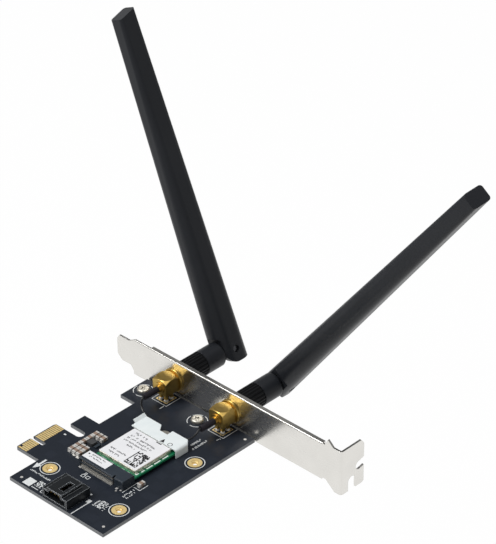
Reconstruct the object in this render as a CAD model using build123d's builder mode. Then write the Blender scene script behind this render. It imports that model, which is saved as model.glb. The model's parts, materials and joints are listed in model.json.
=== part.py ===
from build123d import *
from math import radians, tan
import os

os.makedirs("parts", exist_ok=True)

# A plug-in radio card: X runs up the bracket from the contact edge, Y runs out through
# the bracket, Z = 0 is the component face of the circuit board. Millimetres.

# Circuit board
board_t = 1.57
board_far_y = -23.0
board_low_x = 12.9
board_top_x = 63.8
board_gap = 0.5
tab_low_x = 4.8
small_tab_y0 = 16.1
small_tab_y1 = 23.7
bracket_tab_len = 14.8
relief_round = 1.2
slot_flat = 0.1
mount_holes = [(20.1, -8.95), (57.75, -8.95), (57.75, 31.2)]
mount_hole_r = 1.75
thin_probe = 0.01
eyelet_r = 2.9
eyelet_in_r = 1.55
eyelet_t = 0.08
eyelet_fit = 0.03

# Contact edge: two rows of fingers either side of the key notch at Y = 0
finger_pitch = 1.0
finger_w = 0.75
finger_x0 = 0.95
finger_x1 = 5.6
finger_t = 0.06
short_finger_cut = 1.1
key_w = 1.9
key_depth = 7.45
key_first = 1.5
long_count = 11
short_count = 7
edge_margin = 0.65
edge_bevel_x = 0.9
edge_bevel_z = 0.4
edge_corner = 0.7

# Bracket: one folded sheet
sheet_t = 0.86
bracket_y = 58.42
bracket_w = 16.7
strip_drop = 0.03
bend_x = 108.04
bend_r = 1.2
lip_x0 = 6.4
lip_x1 = 98.2
lip_depth = 2.0
lip_gap = 0.8
fold_r = 0.5
tongue_x = -12.4
tongue_z0 = 2.1
tongue_z1 = 13.4
tongue_corner = 2.4
tongue_nip_x = 1.2
tongue_nip_z = 1.8
shoulder_x = -2.5
shoulder_run = 3.0
shoulder_step_x = 0.8
shoulder_step_z = 2.2
shoulder_slant = 1.7
neck_nip_x = 0.5
neck_z1 = 0.2
neck_run_x = 1.2
neck_rise_x = 2.9
neck_rise_z = 2.9
neck_z0 = 0.8
neck_end_x = 2.0
tab_shoulder_x1 = 4.2
tab_shoulder_x0 = 3.4
tab_len = 12.78
tab_z0 = -4.6
tab_z1 = 15.5
tab_nip_y1 = 1.6
tab_nip_z1 = 2.0
tab_nip_y0 = 0.8
tab_nip_z0 = 0.6
end_slot_z = 5.3
end_slot = (9.4, 3.7)
end_slot_turn = 14
side_slot_out = 6.08
side_slot = (12.0, 4.2)
ear_w = 9.0
ear_len = 12.4
ear_round = 2.0
ear_hole_r = 1.5
ear_screw_xs = [9.4, 39.3]
ear_screw_in = 7.1

# Screws
screw_head_r = 2.6
screw_head_h = 1.4
screw_crown = 0.8
screw_shank_r = 1.4
screw_len = 3.1
recess_w = 0.5
recess_len = 2.1
recess_depth = 0.5

# Radio jacks: square body, threaded barrel, lock washer inside and hex nut outside the bracket
jack_left_x = 19.6
jack_right_x = 50.5
jack_z = 6.65
jack_body = 7.3
jack_h = 6.7
jack_rise = 0.6
jack_crown_r = 3.5
jack_crown_deg = 33
jack_ring_r = 2.5
jack_ring_len = 0.5
jack_boss_r = 1.6
jack_boss_len = 0.8
jack_post = 1.2
jack_post_inset = 1.65
thread_r = 3.175
thread_out = 10.4
thread_lead_in = 0.4
jack_hole_r = 3.3
washer_r = 5.0
washer_t = 0.92
washer_edge = 0.44
hex_flats = 8.0
hex_t = 2.0
hex_bore_gap = 0.03

# Leads and sleeves
lead_r = 0.42
sleeve_r = 1.25
sleeve_in_r = 0.45
sleeve_len = 7.0
# A bend's first value is its step from the jack's axis on the left lead, and its share of the way from the
# jack to the plug on the right one; Y and Z follow. Each lead leaves its jack and meets its plug straight.
left_lead_bends = [(0.2, 39.9, 3.9), (2.6, 38.6, 2.4), (6.9, 37.4, 2.4)]
left_lead_ends_y = (40.6, 37.0)
left_lead_turns = [1.6, 2.6, 4.9, 15.0, 2.2]
right_lead_bends = [(0.025, 39.2, 5.3), (0.25, 38.0, 3.8), (0.65, 36.9, 2.8)]
right_lead_ends_y = (41.0, 35.2)
right_lead_turns = [2.6, 4.0, 4.6, 3.6, 2.7]

# Radio module, its socket and what stands on it
module_x0 = 28.0
module_w = 22.0
module_y0 = 3.4
module_len = 30.0
module_t = 0.8
module_z = 1.3
shield_low_inset = 0.4
shield_high_inset = 1.5
shield_y0 = 8.6
shield_len = 19.4
shield_h = 1.45
shield_corner = 0.6
shield_edge = 0.25
label_inset = 0.3
label_t = 0.06
module_screw_notch_r = 1.75
standoff_r = 2.4
standoff_hole_r = 0.95
module_screw_head_r = 2.5
module_screw_head_h = 0.9
module_screw_shank_r = 0.9
module_screw_len = 1.9
module_screw_edge = 0.3
module_recess_len = 2.4
module_recess_w = 0.6
module_recess_depth = 0.4
socket_low_margin = 1.1
socket_high_margin = 0.4
socket_y0 = 0.0
socket_len = 6.4
socket_h = 4.0
socket_slot_gap = 0.12
socket_side_gap = 0.1
socket_end_gap = 0.2
socket_comb_start = 0.6
socket_comb_margin = 0.5
socket_tail_depth = 0.9
socket_tail_roof = 0.6
socket_rib_z = (1.75, 2.25)
socket_rib_t = 0.35
socket_notch_w = 0.9
socket_notch_depth = 1.6
socket_bevel = 0.35
socket_label = (0.1, 12.7, 1.4, 5.7)
tail_pitch = 0.5
tail_w = 0.25
tail_count = 34
tail_len = 0.7
tail_t = 0.2
tail_rise = 3.0
tail_top = 0.4
tail_foot = 0.7
plug_r = 1.3
plug_h = 1.3
plug_neck = 1.2
plug_neck_gap = 0.05
plug_y = 31.0
plug_inset = 3.5
plug_neck_y = 32.4
cover_y0 = 28.05
cover_y1 = 36.2
cover_t = 0.5
cover_low_x = 26.7
cover_side_gap = 0.3
cover_fold_r = 0.9
cover_flap_run = 1.4
cover_flap_rise = 1.2
cover_flap_cut = 2.2
cover_corner = 1.2
cover_notch_y = 33.2
cover_notch_w = 4.0
cover_notch_slant = 2.2

# Side header for the control lead
header_x0 = 30.8
header_w = 13.1
header_y0 = -22.6
header_len = 12.2
header_h = 4.2
header_crown_w = 8.2
header_crown_h = 1.4
header_wall = 0.9
header_cavity_len = 9.2
header_pin_pitch = 2.0
header_pin_count = 5
header_pin = 0.5
header_pin_z = 2.0
header_pin_y0 = -20.6
header_pin_drop = 1.0
header_roof = 0.7
header_crown_back = 1.5
header_latch_x = (0.2, 2.3)
header_latch_y = (2.4, 8.1)
header_bevel = 0.25

# Small parts of the supply
chip_x = [17.6, 19.8, 22.0]
chip_y = [4.9, 8.0, 17.4]
more_chips = [(17.6, 11.1), (17.6, 14.3), (53.0, 7.3)]
chip_len = 2.9
chip_w = 1.7
chip_h = 1.3
end_len = 0.75
coil_place = (20.6, 12.7)
coil_size = 3.0
coil_h = 1.4
coil_corner = 0.6
regulator_place = (23.3, 12.7)
regulator_size = (1.3, 2.6)
regulator_h = 0.9
regulator_bevel = 0.2

# Antennas: ribbed nut, swivel barrel, hinge pin and tapering blade
nut_r = 4.85
rib_r = 0.36
rib_count = 24
rib_sink = 0.06
nut_out = 3.3
nut_len = 11.3
nut_bore_gap = 0.08
nut_step = 0.2
lip_len = 2.2
lip_bore_r = 3.85
flange_r = 4.2
flange_step = 0.5
flange_gap = 0.15
swivel_clear = 0.08
barrel_r = 5.15
barrel_step = 0.2
barrel_len = 9.7
barrel_edge = 0.9
pivot_out = 5.6
tongue_t = 4.4
tongue_r = 3.4
tongue_root = 1.0
hinge_gap = 0.3
pin_r = 1.2
pin_half = 4.6
pin_clear = 0.05
pin_mouth_r = 1.5
blade_len = 141.5
blade_foot_w = 11.26
blade_foot_d = 14.5
blade_foot_round = 5.55
blade_tip_w = 6.6
blade_tip_d = 8.3
blade_tip_round = 1.3
blade_over = 3.0
blade_tip_slant_deg = 16.0
barrel_pocket_r = 6.8
cut_reach = 20.0
left_lean_deg = -22.65
left_tilt_deg = 90.0
right_lean_deg = 36.56
right_tilt_deg = 85.8

# Worked out from the values above
board_near_y = bracket_y - board_gap
bracket_tab_y0 = board_near_y - bracket_tab_len
edge_y0 = -(key_first + (short_count - 1) * finger_pitch + edge_margin)
edge_y1 = key_first + (long_count - 1) * finger_pitch + edge_margin
ear_z0 = -board_t - sheet_t
bracket_z0 = -board_t - strip_drop
bracket_z1 = bracket_z0 + bracket_w
tab_end_y = bracket_y + tab_len
ear_screws = [(x, bracket_y - ear_screw_in) for x in ear_screw_xs]
jack_body_z = jack_z + jack_rise
jack_z0 = jack_body_z - jack_h / 2
jack_front_y = bracket_y - washer_t
jack_mid_y = jack_front_y - jack_body / 2
jack_back_y = jack_front_y - jack_body
thread_end_y = bracket_y + thread_out
module_mid_x = module_x0 + module_w / 2
module_end_y = module_y0 + module_len
module_top_z = module_z + module_t
shield_x0 = module_x0 + shield_low_inset
shield_x1 = module_x0 + module_w - shield_high_inset
shield_top_z = module_top_z + shield_h
cover_roof_z = module_top_z + plug_h
boss_y = jack_back_y - jack_ring_len - jack_boss_len
sleeve_y0 = boss_y - sleeve_len
plug_z = module_top_z + plug_neck / 2 + plug_neck_gap
nut_y0 = bracket_y + nut_out
nut_y1 = nut_y0 + nut_len
lip_bore_y = nut_y1 - lip_len
flange_y0 = thread_end_y + flange_step
barrel_y0 = nut_y1 + barrel_step
barrel_y1 = barrel_y0 + barrel_len
pivot_y = barrel_y1 + pivot_out
jacks = {"left": jack_left_x, "right": jack_right_x}
lean = {"left": left_lean_deg, "right": right_lean_deg}
tilt = {"left": left_tilt_deg, "right": right_tilt_deg}


def box_at(x0, x1, y0, y1, z0, z1, mode=Mode.ADD):
    with Locations(((x0 + x1) / 2, (y0 + y1) / 2, (z0 + z1) / 2)):
        Box(x1 - x0, y1 - y0, z1 - z0, mode=mode)


def save(part, node):
    part.label = node
    export_step(part, f"parts/{node}.step")


# Circuit board with key notch, relief slots and plated holes
with BuildPart() as board:
    with BuildSketch() as outline:
        with BuildLine():
            Polyline(
                (board_low_x, board_far_y),
                (board_low_x, edge_y0),
                (0, edge_y0),
                (0, edge_y1),
                (board_low_x + relief_round, edge_y1),
                (board_low_x + relief_round, small_tab_y0),
                (tab_low_x, small_tab_y0),
                (tab_low_x, small_tab_y1),
                (board_low_x, small_tab_y1),
                (board_low_x, bracket_tab_y0),
                (tab_low_x, bracket_tab_y0),
                (tab_low_x, board_near_y),
                (board_top_x, board_near_y),
                (board_top_x, board_far_y),
                close=True,
            )
        make_face()
        corners = outline.vertices()
        fillet([v for v in corners if abs(v.X - board_low_x - relief_round) < thin_probe],
               (small_tab_y0 - edge_y1 - slot_flat) / 2)
        fillet([v for v in corners if abs(v.X - board_low_x) < thin_probe and v.Y > edge_y0 - thin_probe],
               relief_round)
        chamfer([v for v in outline.vertices() if abs(v.X) < thin_probe], edge_corner)
        with Locations((key_depth - key_w / 2, 0)):
            Circle(key_w / 2, mode=Mode.SUBTRACT)
        with Locations(((key_depth - key_w / 2) / 2, 0)):
            Rectangle(key_depth - key_w / 2, key_w, mode=Mode.SUBTRACT)
        with Locations(*mount_holes):
            Circle(mount_hole_r, mode=Mode.SUBTRACT)
        with Locations(*ear_screws):
            Circle(mount_hole_r, mode=Mode.SUBTRACT)
    extrude(amount=-board_t)
    for section in (0, 1):
        tip = board.faces().filter_by_position(Axis.X, -thin_probe, thin_probe).sort_by(Axis.Y)[section]
        chamfer(tip.edges().filter_by(Axis.Y), edge_bevel_z, edge_bevel_x, reference=tip)
save(board.part, "circuit_board")

# Gold contact fingers on both faces, one of them short for hot-plug sensing
finger_ys = [key_first + i * finger_pitch for i in range(long_count)]
finger_ys += [-key_first - i * finger_pitch for i in range(short_count)]
short_finger_y = -key_first - (short_count - 2) * finger_pitch
with BuildPart() as fingers:
    for y in finger_ys:
        start = finger_x0 + (short_finger_cut if y == short_finger_y else 0)
        for z in (0, -board_t - finger_t):
            box_at(start, finger_x1, y - finger_w / 2, y + finger_w / 2, z, z + finger_t)
save(fingers.part, "contact_fingers")

# Plated eyelets lining the mounting holes
with BuildPart() as eyelets:
    with Locations(*[(x, y, 0) for x, y in mount_holes]):
        Cylinder(eyelet_r, eyelet_t, align=(Align.CENTER, Align.CENTER, Align.MIN))
        with Locations((0, 0, -board_t)):
            Cylinder(eyelet_r, eyelet_t, align=(Align.CENTER, Align.CENTER, Align.MAX))
            Cylinder(mount_hole_r - eyelet_fit, board_t, align=(Align.CENTER, Align.CENTER, Align.MIN))
        Cylinder(eyelet_in_r, 3 * board_t, mode=Mode.SUBTRACT)
save(eyelets.part, "hole_eyelets")

# Bracket: strip with folded lips, ears under the board, tongue and bent screw tab
strip_plane = Plane(origin=(0, bracket_y, 0), x_dir=(1, 0, 0), z_dir=(0, -1, 0))
tab_plane = Plane(origin=(bend_x, 0, 0), x_dir=(0, 1, 0), z_dir=(1, 0, 0))
lip_plane = Plane(origin=(lip_x0, 0, 0), x_dir=(0, 1, 0), z_dir=(1, 0, 0))
with BuildPart() as bracket:
    with BuildSketch(strip_plane):
        with BuildLine():
            Polyline(
                (tongue_x, tongue_z0 + tongue_corner),
                (tongue_x, tongue_z1 - tongue_nip_z),
                (tongue_x + tongue_nip_x, tongue_z1),
                (shoulder_x - shoulder_run, tongue_z1),
                (shoulder_x, bracket_z1),
                (lip_x1, bracket_z1),
                (lip_x1 + neck_nip_x, bracket_z1 - neck_z1),
                (lip_x1 + neck_run_x, bracket_z1 - neck_z1),
                (lip_x1 + neck_rise_x, bracket_z1 + neck_rise_z),
                (bend_x - tab_shoulder_x1, tab_z1),
                (bend_x, tab_z1),
                (bend_x, tab_z0),
                (bend_x - tab_shoulder_x0, tab_z0),
                (lip_x1 + neck_end_x, bracket_z0 + neck_z0),
                (lip_x1 + neck_nip_x, bracket_z0 + neck_z0),
                (lip_x1, bracket_z0),
                (shoulder_x - shoulder_step_x, bracket_z0),
                (shoulder_x - shoulder_step_x, tongue_z0 - shoulder_step_z),
                (shoulder_x - shoulder_step_x - shoulder_slant, tongue_z0),
                (tongue_x + tongue_corner, tongue_z0),
                close=True,
            )
        make_face()
        with Locations(*[(x, jack_z) for x in jacks.values()]):
            Circle(jack_hole_r, mode=Mode.SUBTRACT)
    extrude(amount=-sheet_t)
    with BuildSketch(lip_plane):
        with Locations((bracket_y + lip_depth / 2, bracket_z1 - sheet_t / 2)):
            Rectangle(lip_depth, sheet_t)
        with Locations((bracket_y + lip_depth / 2, bracket_z0 + sheet_t / 2)):
            Rectangle(lip_depth, sheet_t)
    extrude(amount=lip_x1 - lip_x0)
    with BuildSketch(tab_plane):
        with BuildLine():
            Polyline(
                (bracket_y, tab_z0),
                (bracket_y, tab_z1),
                (tab_end_y - tab_nip_y1, tab_z1),
                (tab_end_y, tab_z1 - tab_nip_z1),
                (tab_end_y, tab_z0 + tab_nip_z0),
                (tab_end_y - tab_nip_y0, tab_z0),
                close=True,
            )
        make_face()
        with Locations((tab_end_y, end_slot_z)):
            SlotOverall(*end_slot, rotation=end_slot_turn, mode=Mode.SUBTRACT)
        with Locations((bracket_y + side_slot_out, tab_z0)):
            SlotOverall(*side_slot, rotation=90, mode=Mode.SUBTRACT)
    extrude(amount=-sheet_t)
    for x in ear_screw_xs:
        box_at(x - ear_w / 2 - lip_gap, x + ear_w / 2 + lip_gap, bracket_y + sheet_t,
               bracket_y + lip_depth, bracket_z0, bracket_z0 + sheet_t, Mode.SUBTRACT)
        box_at(x - ear_w / 2, x + ear_w / 2, bracket_y, bracket_y + sheet_t, ear_z0, bracket_z0 + sheet_t)
    with BuildSketch(Plane.XY.offset(ear_z0)) as ears:
        with Locations(*[(x, bracket_y - ear_len / 2) for x in ear_screw_xs]):
            Rectangle(ear_w, ear_len)
        fillet(ears.vertices().group_by(Axis.Y)[0], ear_round)
        with Locations(*ear_screws):
            Circle(ear_hole_r, mode=Mode.SUBTRACT)
    extrude(amount=sheet_t)
    inner_folds = bracket.edges().filter_by_position(Axis.Y, bracket_y - thin_probe, bracket_y + thin_probe)
    fillet([e for e in inner_folds.filter_by(Axis.Z) if abs(e.center().X - bend_x) < thin_probe], bend_r)
    fillet([e for e in inner_folds.filter_by(Axis.X) if abs(e.center().Z - bracket_z1) < thin_probe], fold_r)
    outer_y = bracket_y + sheet_t
    outer_folds = bracket.edges().filter_by_position(Axis.Y, outer_y - thin_probe, outer_y + thin_probe)
    fillet([e for e in outer_folds.filter_by(Axis.Z) if abs(e.center().X - bend_x + sheet_t) < thin_probe],
           bend_r - sheet_t)
save(bracket.part, "bracket")

# Pan-head screws through the board into the bracket ears
with BuildPart() as ear_screw_set:
    with Locations(*[(x, y, 0) for x, y in ear_screws]):
        Cylinder(screw_head_r, screw_head_h, align=(Align.CENTER, Align.CENTER, Align.MIN))
        Cylinder(screw_shank_r, screw_len, align=(Align.CENTER, Align.CENTER, Align.MAX))
    crowns = ear_screw_set.edges().filter_by(GeomType.CIRCLE).group_by(Axis.Z)[-1]
    fillet(crowns, screw_crown)
    with Locations(*[(x, y, screw_head_h) for x, y in ear_screws]):
        Box(recess_len, recess_w, 2 * recess_depth, mode=Mode.SUBTRACT)
        Box(recess_w, recess_len, 2 * recess_depth, mode=Mode.SUBTRACT)
save(ear_screw_set.part, "bracket_screws")

# Radio jacks, lock washers and hex nuts
for side, x in jacks.items():
    axis_plane = Plane(origin=(x, 0, jack_z), x_dir=(1, 0, 0), z_dir=(0, 1, 0))
    crown_spread = jack_h / tan(radians(jack_crown_deg))
    with BuildPart() as jack:
        with Locations((x, jack_mid_y, jack_body_z)):
            Box(jack_body, jack_body, jack_h)
            Cone(jack_crown_r + crown_spread, jack_crown_r, jack_h, mode=Mode.INTERSECT)
        with BuildSketch(axis_plane.offset(jack_back_y)):
            Circle(jack_ring_r)
        extrude(amount=-jack_ring_len)
        with BuildSketch(axis_plane.offset(boss_y)):
            Circle(jack_boss_r)
        extrude(amount=jack_boss_len)
        with BuildSketch(axis_plane.offset(jack_front_y)):
            Circle(thread_r)
        extrude(amount=thread_end_y - jack_front_y)
        chamfer(jack.edges().filter_by(GeomType.CIRCLE).sort_by(Axis.Y)[-1], thread_lead_in)
        reach = jack_body - 2 * jack_post_inset - jack_post
        with Locations((x, jack_mid_y, 0)):
            with GridLocations(reach, reach, 2, 2):
                Box(jack_post, jack_post, jack_z0, align=(Align.CENTER, Align.CENTER, Align.MIN))
    save(jack.part, f"{side}_jack")
    with BuildPart() as washer:
        with BuildSketch(axis_plane.offset(jack_front_y)):
            Circle(washer_r)
            Circle(jack_hole_r, mode=Mode.SUBTRACT)
        extrude(amount=washer_t)
        rims = [e for e in washer.edges().filter_by(GeomType.CIRCLE) if e.radius > jack_hole_r + thin_probe]
        fillet(rims, washer_edge)
    save(washer.part, f"{side}_lock_washer")
    with BuildPart() as hex_nut:
        with BuildSketch(axis_plane.offset(bracket_y + sheet_t)):
            RegularPolygon(hex_flats / 2, 6, major_radius=False)
            Circle(thread_r + hex_bore_gap, mode=Mode.SUBTRACT)
        extrude(amount=hex_t)
    save(hex_nut.part, f"{side}_hex_nut")

# Coaxial leads from the jacks to the module, each in a shrink sleeve at the jack
plug_xs = {"left": module_x0 + plug_inset, "right": module_x0 + module_w - plug_inset}
right_reach = plug_xs["right"] - jack_right_x
lead_bends = {
    "left": [(jack_left_x + step, y, z) for step, y, z in left_lead_bends],
    "right": [(jack_right_x + share * right_reach, y, z) for share, y, z in right_lead_bends],
}
lead_ends_y = {"left": left_lead_ends_y, "right": right_lead_ends_y}
lead_turns = {"left": left_lead_turns, "right": right_lead_turns}
for side, bends in lead_bends.items():
    lead_start = (jacks[side], boss_y, jack_z)
    lead_end = (plug_xs[side], plug_neck_y, plug_z)
    leave_y, reach_y = lead_ends_y[side]
    leave, reach = (jacks[side], leave_y, jack_z), (plug_xs[side], reach_y, plug_z)
    with BuildPart() as lead:
        with BuildLine():
            FilletPolyline(lead_start, leave, *bends, reach, lead_end, radius=lead_turns[side])
        with BuildSketch(Plane(origin=lead_start, z_dir=(0, -1, 0))):
            Circle(lead_r)
        sweep()
    save(lead.part, f"{side}_lead")
    with BuildPart() as sleeve:
        with BuildSketch(Plane(origin=(jacks[side], sleeve_y0, jack_z), z_dir=(0, 1, 0))):
            Circle(sleeve_r)
            Circle(sleeve_in_r, mode=Mode.SUBTRACT)
        extrude(amount=boss_y - sleeve_y0)
    save(sleeve.part, f"{side}_sleeve")
    with BuildPart() as plug:
        with Locations((plug_xs[side], plug_y, module_top_z)):
            Cylinder(plug_r, plug_h, align=(Align.CENTER, Align.CENTER, Align.MIN))
        box_at(plug_xs[side] - plug_neck / 2, plug_xs[side] + plug_neck / 2, plug_y, plug_neck_y,
               plug_z - plug_neck / 2, plug_z + plug_neck / 2)
    save(plug.part, f"{side}_plug")

# Module socket with its slot, its open back and a keying notch, and the contact tails in that back
socket_x0 = module_x0 - socket_low_margin
socket_x1 = module_x0 + module_w + socket_high_margin
socket_y1 = socket_y0 + socket_len
comb_x0 = socket_x0 + socket_comb_start
comb_x1 = comb_x0 + tail_count * tail_pitch + socket_comb_margin
with BuildPart() as socket:
    box_at(socket_x0, socket_x1, socket_y0, socket_y1, 0, socket_h)
    chamfer(socket.edges().filter_by(Axis.X).group_by(Axis.Z)[-1], socket_bevel)
    box_at(module_x0 - socket_side_gap, module_x0 + module_w + socket_side_gap,
           module_y0 - socket_end_gap, 2 * socket_y1, module_z, module_top_z + socket_slot_gap, Mode.SUBTRACT)
    box_at(comb_x0, comb_x1, socket_y0, socket_y0 + socket_tail_depth, 0, socket_h - socket_tail_roof,
           Mode.SUBTRACT)
    box_at(comb_x1, comb_x1 + socket_notch_w, socket_y0, socket_y0 + socket_notch_depth, 0, socket_h,
           Mode.SUBTRACT)
    box_at(comb_x0, comb_x1, socket_y0, socket_y0 + socket_rib_t, *socket_rib_z)
save(socket.part, "module_socket")

with BuildPart() as tails:
    comb_mid_x = (comb_x0 + comb_x1) / 2
    with BuildSketch(Plane(origin=(comb_mid_x, 0, 0), x_dir=(0, 1, 0), z_dir=(1, 0, 0))):
        with BuildLine():
            Polyline(
                (socket_y0 - tail_len, 0),
                (socket_y0 + socket_tail_depth, 0),
                (socket_y0 + socket_tail_depth, tail_rise),
                (socket_y0 + socket_tail_depth - tail_top, tail_rise),
                (socket_y0 + socket_tail_depth - tail_foot, tail_t),
                (socket_y0 - tail_len, tail_t),
                close=True,
            )
        make_face()
    tail = extrude(amount=tail_w / 2, both=True, mode=Mode.PRIVATE)
    with GridLocations(tail_pitch, 1, tail_count, 1):
        add(tail)
save(tails.part, "socket_tails")

# Radio module: board with a screw notch, shield can and label
with BuildPart() as module:
    with BuildSketch(Plane.XY.offset(module_z)):
        with Locations((module_mid_x, module_y0 + module_len / 2)):
            Rectangle(module_w, module_len)
        with Locations((module_mid_x, module_end_y)):
            Circle(module_screw_notch_r, mode=Mode.SUBTRACT)
    extrude(amount=module_t)
save(module.part, "module_board")

with BuildPart() as shield:
    box_at(shield_x0, shield_x1, shield_y0, shield_y0 + shield_len, module_top_z, shield_top_z)
    fillet(shield.edges().filter_by(Axis.Z), shield_corner)
    fillet(shield.edges().group_by(Axis.Z)[-1], shield_edge)
save(shield.part, "module_shield")

with BuildPart() as label:
    box_at(shield_x0 + label_inset, shield_x1 - label_inset, shield_y0 + label_inset,
           shield_y0 + shield_len - shield_edge, shield_top_z, shield_top_z + label_t)
save(label.part, "module_label")

with BuildPart() as socket_tag:
    box_at(socket_x0 + socket_label[0], socket_x0 + socket_label[1], socket_y0 + socket_label[2],
           socket_y0 + socket_label[3], socket_h, socket_h + label_t)
save(socket_tag.part, "socket_label")

# Standoff and screw that hold the module's free end
with BuildPart() as standoff:
    with Locations((module_mid_x, module_end_y, 0)):
        Cylinder(standoff_r, module_z, align=(Align.CENTER, Align.CENTER, Align.MIN))
        Cylinder(standoff_hole_r, 3 * module_z, mode=Mode.SUBTRACT)
save(standoff.part, "module_standoff")

with BuildPart() as module_screw:
    with Locations((module_mid_x, module_end_y, module_top_z)):
        Cylinder(module_screw_head_r, module_screw_head_h, align=(Align.CENTER, Align.CENTER, Align.MIN))
        Cylinder(module_screw_shank_r, module_screw_len, align=(Align.CENTER, Align.CENTER, Align.MAX))
    fillet(module_screw.edges().filter_by(GeomType.CIRCLE).group_by(Axis.Z)[-1], module_screw_edge)
    with Locations((module_mid_x, module_end_y, module_top_z + module_screw_head_h)):
        Box(module_recess_len, module_recess_w, 2 * module_recess_depth, mode=Mode.SUBTRACT)
        Box(module_recess_w, module_recess_len, 2 * module_recess_depth, mode=Mode.SUBTRACT)
save(module_screw.part, "module_screw")

# Folded cover over the two lead plugs: a sprung flap, a flat roof and a wall down to the board
cover_mid_z = cover_roof_z + cover_t / 2
cover_wall_x = module_x0 + module_w + cover_side_gap + cover_t / 2
cover_front = Plane(origin=(0, cover_y0, 0), x_dir=(1, 0, 0), z_dir=(0, -1, 0))
with BuildPart() as cover:
    with BuildSketch(cover_front):
        with BuildLine():
            FilletPolyline(
                (cover_low_x - cover_flap_run, cover_mid_z + cover_flap_rise),
                (cover_low_x, cover_mid_z),
                (cover_wall_x, cover_mid_z),
                (cover_wall_x, 0),
                radius=cover_fold_r,
            )
        trace(line_width=cover_t)
    extrude(amount=cover_y0 - cover_y1)
    with BuildSketch() as trim:
        with BuildLine():
            Polyline(
                (module_mid_x - cover_notch_w / 2, cover_notch_y),
                (module_mid_x + cover_notch_w / 2, cover_notch_y),
                (module_mid_x + cover_notch_w / 2, cover_y1),
                (module_mid_x - cover_notch_w / 2 - cover_notch_slant, cover_y1),
                close=True,
            )
        make_face()
        with Locations((cover_low_x - cover_flap_run, cover_y0)):
            Rectangle(2 * cover_flap_run, 2 * cover_flap_cut)
        with Locations((cover_wall_x + cover_t / 2, cover_y1)):
            Rectangle(2 * cover_corner, 2 * cover_corner, rotation=45)
    extrude(amount=cover_mid_z + 2 * cover_flap_rise, mode=Mode.SUBTRACT)
save(cover.part, "plug_cover")

# Side header: open shroud with a raised crown and five pins
header_x1 = header_x0 + header_w
header_mid_x = header_x0 + header_w / 2
header_y1 = header_y0 + header_len
with BuildPart() as header:
    box_at(header_x0, header_x1, header_y0, header_y1, 0, header_h)
    box_at(header_mid_x - header_crown_w / 2, header_mid_x + header_crown_w / 2, header_y0,
           header_y1 - header_crown_back, header_h, header_h + header_crown_h)
    box_at(header_x0 + header_wall, header_x1 - header_wall, header_y0 - 1, header_y0 + header_cavity_len,
           header_wall, header_h - header_roof, Mode.SUBTRACT)
    box_at(header_mid_x - header_crown_w / 2 + header_wall, header_mid_x + header_crown_w / 2 - header_wall,
           header_y0 - 1, header_y0 + header_cavity_len, header_h - 1,
           header_h + header_crown_h - header_roof, Mode.SUBTRACT)
    box_at(header_mid_x + header_latch_x[0], header_mid_x + header_latch_x[1],
           header_y0 + header_latch_y[0], header_y0 + header_latch_y[1],
           header_h, header_h + 2 * header_crown_h, Mode.SUBTRACT)
    chamfer(header.edges().filter_by(Axis.Y).group_by(Axis.Z)[-1], header_bevel)
    with Locations((header_mid_x, header_y1, header_pin_z + header_pin / 2)):
        with GridLocations(header_pin_pitch, 1, header_pin_count, 1):
            Box(header_pin, header_len, header_pin, mode=Mode.SUBTRACT)
save(header.part, "side_header")

with BuildPart() as header_pins:
    with BuildSketch(Plane(origin=(header_mid_x, 0, 0), x_dir=(0, 1, 0), z_dir=(1, 0, 0))):
        with BuildLine():
            Polyline(
                (header_pin_y0, header_pin_z),
                (header_y1 + header_pin_drop, header_pin_z),
                (header_y1 + header_pin_drop, 0),
                (header_y1 + header_pin_drop + header_pin, 0),
                (header_y1 + header_pin_drop + header_pin, header_pin_z + header_pin),
                (header_pin_y0, header_pin_z + header_pin),
                close=True,
            )
        make_face()
    pin = extrude(amount=header_pin / 2, both=True, mode=Mode.PRIVATE)
    with GridLocations(header_pin_pitch, 1, header_pin_count, 1):
        add(pin)
save(header_pins.part, "header_pins")

# Small parts of the supply: chips with metal ends, an inductor and a regulator
chip_places = [(x, y, 0) for x in chip_x for y in chip_y] + [(x, y, 0) for x, y in more_chips]
on_board = (Align.CENTER, Align.CENTER, Align.MIN)
with BuildPart() as chips:
    with Locations(*chip_places):
        Box(chip_w, chip_len - 2 * end_len, chip_h, align=on_board)
save(chips.part, "chip_bodies")

with BuildPart() as ends:
    with Locations(*chip_places):
        with GridLocations(1, chip_len - end_len, 1, 2):
            Box(chip_w, end_len, chip_h, align=on_board)
save(ends.part, "chip_ends")

with BuildPart() as coil:
    with Locations((*coil_place, 0)):
        Box(coil_size, coil_size, coil_h, align=on_board)
    fillet(coil.edges().filter_by(Axis.Z), coil_corner)
save(coil.part, "supply_coil")

with BuildPart() as regulator:
    with Locations((*regulator_place, 0)):
        Box(*regulator_size, regulator_h, align=on_board)
    chamfer(regulator.edges().filter_by(Axis.Y).group_by(Axis.Z)[-1], regulator_bevel)
save(regulator.part, "supply_regulator")

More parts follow.
